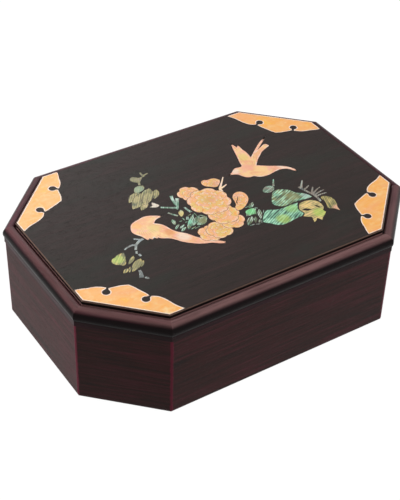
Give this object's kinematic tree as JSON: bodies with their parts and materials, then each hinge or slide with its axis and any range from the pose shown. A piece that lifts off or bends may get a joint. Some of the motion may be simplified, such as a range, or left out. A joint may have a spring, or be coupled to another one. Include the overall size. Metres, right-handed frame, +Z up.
{
  "type": "inlaid wooden box",
  "caption": "Long eight-sided wooden box with a lift-off lid; the lid has a rounded edge moulding and a flat top inlaid with shell birds, blossoms, leaves and corner plates.",
  "frame": {"origin": "centre of the underside of the box, on the surface that it stands on", "axes": "+X along the length, +Y from the front long side to the back, +Z up"},
  "size_m": [0.269, 0.193, 0.079],
  "materials": {
    "wall_wood": "satin varnished dark red-brown wood",
    "moulding_wood": "satin varnished dark red-brown wood",
    "panel_wood": "satin varnished near-black wood veneer",
    "liner_wood": "thinly varnished dark wood",
    "felt": "short wool felt",
    "peach_shell": "polished peach mother-of-pearl",
    "pink_shell": "polished pink mother-of-pearl",
    "green_shell": "polished green abalone shell",
    "olive_shell": "polished olive abalone shell",
    "grey_shell": "polished grey mother-of-pearl"
  },
  "bodies": {
    "body": {"floor_board": "wall_wood", "floor_lining": "felt", "wall_front": "wall_wood", "wall_front_right": "wall_wood", "wall_right": "wall_wood", "wall_back_right": "wall_wood", "wall_back": "wall_wood", "wall_back_left": "wall_wood", "wall_left": "wall_wood", "wall_front_left": "wall_wood", "liner_front": "liner_wood", "liner_front_right": "liner_wood", "liner_right": "liner_wood", "liner_back_right": "liner_wood", "liner_back": "liner_wood", "liner_back_left": "liner_wood", "liner_left": "liner_wood", "liner_front_left": "liner_wood"},
    "lid": {"lid_board": "liner_wood", "lid_veneer": "panel_wood", "moulding_front": "moulding_wood", "moulding_front_right": "moulding_wood", "moulding_right": "moulding_wood", "moulding_back_right": "moulding_wood", "moulding_back": "moulding_wood", "moulding_back_left": "moulding_wood", "moulding_left": "moulding_wood", "moulding_front_left": "moulding_wood", "plate_front_right": "peach_shell", "plate_back_right": "peach_shell", "plate_back_left": "peach_shell", "plate_front_left": "peach_shell", "flying_bird": "pink_shell", "perched_bird": "pink_shell", "blossom_twig": "pink_shell", "blossom_centre": "peach_shell", "blossom_top": "peach_shell", "blossom_right": "peach_shell", "blossom_middle": "peach_shell", "blossom_low": "peach_shell", "blossom_inner_left": "peach_shell", "blossom_left": "peach_shell", "blossom_bud": "peach_shell", "upper_leaves": "olive_shell", "upper_twig": "olive_shell", "lower_leaves": "olive_shell", "curled_leaf": "olive_shell", "side_leaf": "olive_shell", "fern_leaves": "green_shell", "mint_leaves": "green_shell", "round_bud": "green_shell", "broad_leaf_high": "green_shell", "broad_leaf_low": "green_shell", "middle_twigs": "grey_shell", "lower_twig": "grey_shell", "pine_twigs": "grey_shell"}
  },
  "joints": [
    {"name": "lid_lift", "type": "slide", "parent": "body", "child": "lid", "axis": [0, 0, 1], "range_m": [0, 0.09]}
  ]
}
